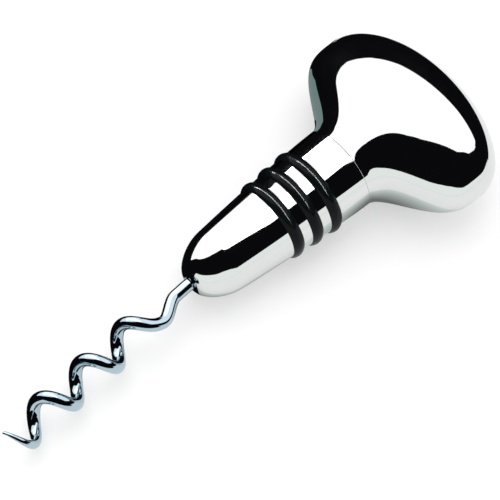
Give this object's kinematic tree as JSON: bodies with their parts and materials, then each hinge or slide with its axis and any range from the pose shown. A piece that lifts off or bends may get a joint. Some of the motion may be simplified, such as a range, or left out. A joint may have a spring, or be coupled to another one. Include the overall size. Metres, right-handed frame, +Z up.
{
  "type": "corkscrew",
  "caption": "Straight-pull corkscrew lying on its side: solid polished palm grip, bullet-shaped barrel with black rubber rings and a helical wire worm.",
  "frame": {"origin": "on the table, under the middle of the bounding box of the corkscrew as it lies on grip and rear ring", "axes": "+X from the worm's point to the grip along the table, +Z up from the table; the tool axis rises 3.2 degrees from +X towards the grip"},
  "size_m": [0.1444, 0.0562, 0.0273],
  "materials": {
    "grip_chrome": "mirror polished plating",
    "barrel_chrome": "mirror polished plating",
    "worm_steel": "bright plated steel wire",
    "plain_steel": "turned",
    "ring_rubber": "satin moulded"
  },
  "bodies": {
    "root": {"handle": "grip_chrome", "barrel": "barrel_chrome", "worm": "worm_steel", "worm_holder": "plain_steel", "thrust_washer": "plain_steel", "worm_set_screws": "plain_steel", "barrel_set_screws": "plain_steel", "o_ring_front": "ring_rubber", "o_ring_middle": "ring_rubber", "o_ring_rear": "ring_rubber"}
  },
  "joints": []
}
